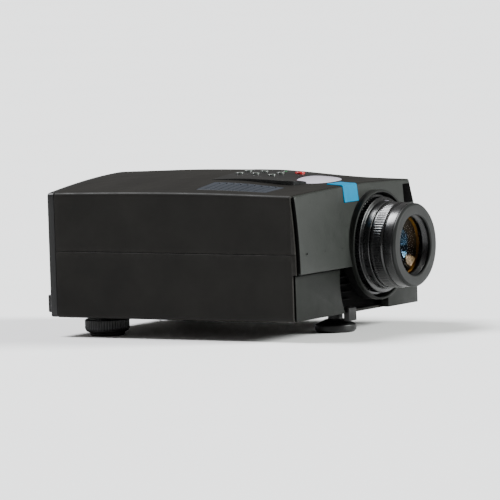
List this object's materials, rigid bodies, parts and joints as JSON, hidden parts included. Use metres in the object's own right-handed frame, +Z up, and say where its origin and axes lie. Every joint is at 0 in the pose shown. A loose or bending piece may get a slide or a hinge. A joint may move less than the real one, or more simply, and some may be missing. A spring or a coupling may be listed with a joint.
{
  "type": "portable data projector",
  "caption": "Black tabletop data projector with a protruding zoom lens, crowned top with controls, screw-adjusted feet and a three-panel light engine inside.",
  "frame": {"origin": "centre of the footprint on the table, under the feet", "axes": "+Z up, the lens looks along -Y, and the lens stands on the +X side of the case's middle"},
  "size_m": [0.247, 0.363, 0.171],
  "materials": {
    "case": "charcoal-black moulded plastic with a fine satin grain",
    "bezel": "charcoal moulded plastic, painted satin",
    "black_plastic": "black moulded plastic",
    "button_plastic": "glossy dark buttons",
    "lens_metal": "black anodised and painted lens rings with grip ribs",
    "rubber": "black rubber",
    "accent": "bright cyan plastic",
    "window": "dark infrared window",
    "silver": "silver-lilac painted plastic",
    "red": "red plastic",
    "light": "green indicator lens",
    "grille": "slate speaker grille",
    "glass": "coated optical glass",
    "mirror": "coated mirror glass",
    "panel": "liquid crystal panel frames",
    "magnesium": "die-cast light alloy",
    "metal": "plated steel",
    "board": "circuit board",
    "foam": "open-cell filter foam",
    "ceramic": "lamp burner",
    "brass": "plated jack"
  },
  "bodies": {
    "chassis": {"accent_tab": "accent", "air_filter": "foam", "ballast": "metal", "computer_port": "metal", "condenser_lens": "glass", "control_panel": "black_plastic", "dichroic_blue": "mirror", "dichroic_green": "mirror", "exhaust_fan_frame": "black_plastic", "front_bezel": "bezel", "front_chassis": "black_plastic", "lamp_burner": "ceramic", "lamp_housing": "magnesium", "lamp_reflector": "mirror", "lcd_blue": "panel", "lcd_green": "panel", "lcd_red": "panel", "lens_barrel": "lens_metal", "lower_case": "case", "lower_front_panel": "bezel", "main_board": "board", "mains_inlet": "black_plastic", "mirror_blue": "mirror", "mirror_red_front": "mirror", "mirror_red_rear": "mirror", "optics_tray": "magnesium", "power_supply": "board", "prism_block": "glass", "rear_glass": "glass", "rear_panel": "case", "remote_window": "window", "speaker": "black_plastic", "speaker_grille": "grille", "status_light": "light", "upper_case": "case", "video_jack": "brass"},
    "zoom_ring": {"zoom_ring": "lens_metal"},
    "zoom_lens": {"zoom_group": "glass"},
    "focus_ring": {"focus_ring": "lens_metal"},
    "front_cell": {"front_cell": "lens_metal", "front_glass": "glass"},
    "front_foot": {"front_foot": "black_plastic"},
    "foot_release": {"foot_release": "black_plastic"},
    "rear_foot_left_pad": {"rear_foot_left_pad": "rubber"},
    "rear_foot_left_dial": {"rear_foot_left_dial": "black_plastic"},
    "rear_foot_right_pad": {"rear_foot_right_pad": "rubber"},
    "rear_foot_right_dial": {"rear_foot_right_dial": "black_plastic"},
    "power_button": {"power_button": "red"},
    "navigation_pad": {"navigation_pad": "silver"},
    "power_switch": {"power_switch": "red"},
    "exhaust_impeller": {"exhaust_impeller": "black_plastic"},
    "filter_door": {"filter_door": "bezel"},
    "lamp_door": {"lamp_door": "case"},
    "lamp_door_screw": {"lamp_door_screw": "metal"},
    "button_1": {"button_1": "button_plastic"},
    "button_2": {"button_2": "button_plastic"},
    "button_3": {"button_3": "button_plastic"},
    "button_4": {"button_4": "button_plastic"},
    "button_5": {"button_5": "button_plastic"},
    "button_6": {"button_6": "button_plastic"}
  },
  "joints": [
    {"name": "zoom_turn", "type": "hinge", "parent": "chassis", "child": "zoom_ring", "pos_m": [0.0415, -0.1315, 0.09], "axis": [0, -1, 0], "range_deg": [-40, 40]},
    {"name": "zoom_shift", "type": "slide", "parent": "chassis", "child": "zoom_lens", "axis": [0, -1, 0], "range_m": [-0.004, 0.004]},
    {"name": "focus_turn", "type": "hinge", "parent": "chassis", "child": "focus_ring", "pos_m": [0.0415, -0.1315, 0.09], "axis": [0, -1, 0], "range_deg": [0, 110]},
    {"name": "focus_shift", "type": "slide", "parent": "chassis", "child": "front_cell", "axis": [0, -1, 0], "range_m": [0, 0.004]},
    {"name": "front_foot_extend", "type": "slide", "parent": "chassis", "child": "front_foot", "axis": [0, 0, -1], "range_m": [0, 0.025]},
    {"name": "foot_release_press", "type": "slide", "parent": "chassis", "child": "foot_release", "axis": [0, 1, 0], "range_m": [0, 0.002], "stiffness_N_per_m": 300},
    {"name": "rear_foot_left_extend", "type": "slide", "parent": "chassis", "child": "rear_foot_left_pad", "axis": [0, 0, -1], "range_m": [0, 0.008]},
    {"name": "rear_foot_left_turn", "type": "hinge", "parent": "rear_foot_left_pad", "child": "rear_foot_left_dial", "pos_m": [-0.09, 0.1265, 0.01], "axis": [0, 0, 1], "range_deg": [0, 720]},
    {"name": "rear_foot_right_extend", "type": "slide", "parent": "chassis", "child": "rear_foot_right_pad", "axis": [0, 0, -1], "range_m": [0, 0.008]},
    {"name": "rear_foot_right_turn", "type": "hinge", "parent": "rear_foot_right_pad", "child": "rear_foot_right_dial", "pos_m": [0.09, 0.1265, 0.01], "axis": [0, 0, 1], "range_deg": [0, 720]},
    {"name": "button_1_press", "type": "slide", "parent": "chassis", "child": "button_1", "axis": [0, 0, -1], "range_m": [0, 0.001], "stiffness_N_per_m": 300},
    {"name": "button_2_press", "type": "slide", "parent": "chassis", "child": "button_2", "axis": [0, 0, -1], "range_m": [0, 0.001], "stiffness_N_per_m": 300},
    {"name": "button_3_press", "type": "slide", "parent": "chassis", "child": "button_3", "axis": [0, 0, -1], "range_m": [0, 0.001], "stiffness_N_per_m": 300},
    {"name": "button_4_press", "type": "slide", "parent": "chassis", "child": "button_4", "axis": [0, 0, -1], "range_m": [0, 0.001], "stiffness_N_per_m": 300},
    {"name": "button_5_press", "type": "slide", "parent": "chassis", "child": "button_5", "axis": [0, 0, -1], "range_m": [0, 0.001], "stiffness_N_per_m": 300},
    {"name": "button_6_press", "type": "slide", "parent": "chassis", "child": "button_6", "axis": [0, 0, -1], "range_m": [0, 0.001], "stiffness_N_per_m": 300},
    {"name": "power_press", "type": "slide", "parent": "chassis", "child": "power_button", "axis": [0, 0, -1], "range_m": [0, 0.0012], "stiffness_N_per_m": 300},
    {"name": "pad_press", "type": "slide", "parent": "chassis", "child": "navigation_pad", "axis": [0, 0, -1], "range_m": [0, 0.001], "stiffness_N_per_m": 300},
    {"name": "power_switch_rock", "type": "hinge", "parent": "chassis", "child": "power_switch", "pos_m": [0.056, 0.1725, 0.064], "axis": [1, 0, 0], "range_deg": [-8, 0]},
    {"name": "fan_spin", "type": "hinge", "parent": "chassis", "child": "exhaust_impeller", "pos_m": [-0.066, 0.152, 0.086], "axis": [0, -1, 0], "continuous": true},
    {"name": "filter_door_pull", "type": "slide", "parent": "chassis", "child": "filter_door", "axis": [0, -1, 0], "range_m": [0, 0.025]},
    {"name": "lamp_door_drop", "type": "slide", "parent": "chassis", "child": "lamp_door", "axis": [0, 0, -1], "range_m": [0, 0.018]},
    {"name": "lamp_door_screw_turn", "type": "hinge", "parent": "lamp_door", "child": "lamp_door_screw", "pos_m": [-0.082, 0.058, 0.016], "axis": [0, 0, 1], "range_deg": [0, 360]}
  ],
  "couplings": [
    {"joint": "zoom_shift", "follows": "zoom_turn", "m_per_rad": 0.005729},
    {"joint": "focus_shift", "follows": "focus_turn", "m_per_rad": 0.002082},
    {"joint": "rear_foot_left_extend", "follows": "rear_foot_left_turn", "m_per_rad": 0.0006365},
    {"joint": "rear_foot_right_extend", "follows": "rear_foot_right_turn", "m_per_rad": 0.0006365}
  ]
}
